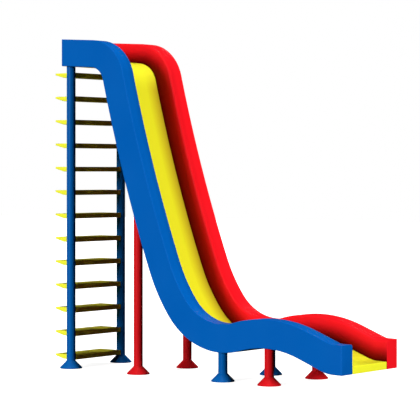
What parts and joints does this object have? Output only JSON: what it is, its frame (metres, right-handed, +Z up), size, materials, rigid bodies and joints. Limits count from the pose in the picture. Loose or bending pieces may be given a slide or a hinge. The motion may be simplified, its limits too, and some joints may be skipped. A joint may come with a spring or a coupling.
{
  "type": "water slide tower",
  "caption": "Straight open water slide falling steeply from a small platform over a hump to a level exit, on round posts with flared feet and a vertical ladder of treads.",
  "frame": {"origin": "on the floor, at the centre of the underside of the bounding box", "axes": "+X is the way the slide runs, from the ladder to the exit; +Z is up; +Y is towards the red wall"},
  "size_m": [4.6, 1.254, 4.228],
  "materials": {
    "blue_plastic": "satin gloss",
    "red_plastic": "satin gloss",
    "yellow_plastic": "satin gloss",
    "blue_paint": "gloss paint",
    "red_paint": "gloss paint"
  },
  "bodies": {
    "root": {"blue_side_wall": "blue_plastic", "red_side_wall": "red_plastic", "slide_bed": "yellow_plastic", "ladder_post_near": "blue_paint", "ladder_foot_near": "blue_paint", "ladder_post_far": "blue_paint", "ladder_foot_far": "blue_paint", "chute_post_near": "red_paint", "chute_foot_near": "red_paint", "chute_post_far": "red_paint", "chute_foot_far": "red_paint", "dip_post_near": "blue_paint", "dip_foot_near": "blue_paint", "dip_post_far": "blue_paint", "dip_foot_far": "blue_paint", "hump_post_near": "red_paint", "hump_foot_near": "red_paint", "hump_post_far": "red_paint", "hump_foot_far": "red_paint", "tread_1": "yellow_plastic", "tread_2": "yellow_plastic", "tread_3": "yellow_plastic", "tread_4": "yellow_plastic", "tread_5": "yellow_plastic", "tread_6": "yellow_plastic", "tread_7": "yellow_plastic", "tread_8": "yellow_plastic", "tread_9": "yellow_plastic", "tread_10": "yellow_plastic", "tread_11": "yellow_plastic", "tread_12": "yellow_plastic", "tread_13": "yellow_plastic"}
  },
  "joints": []
}
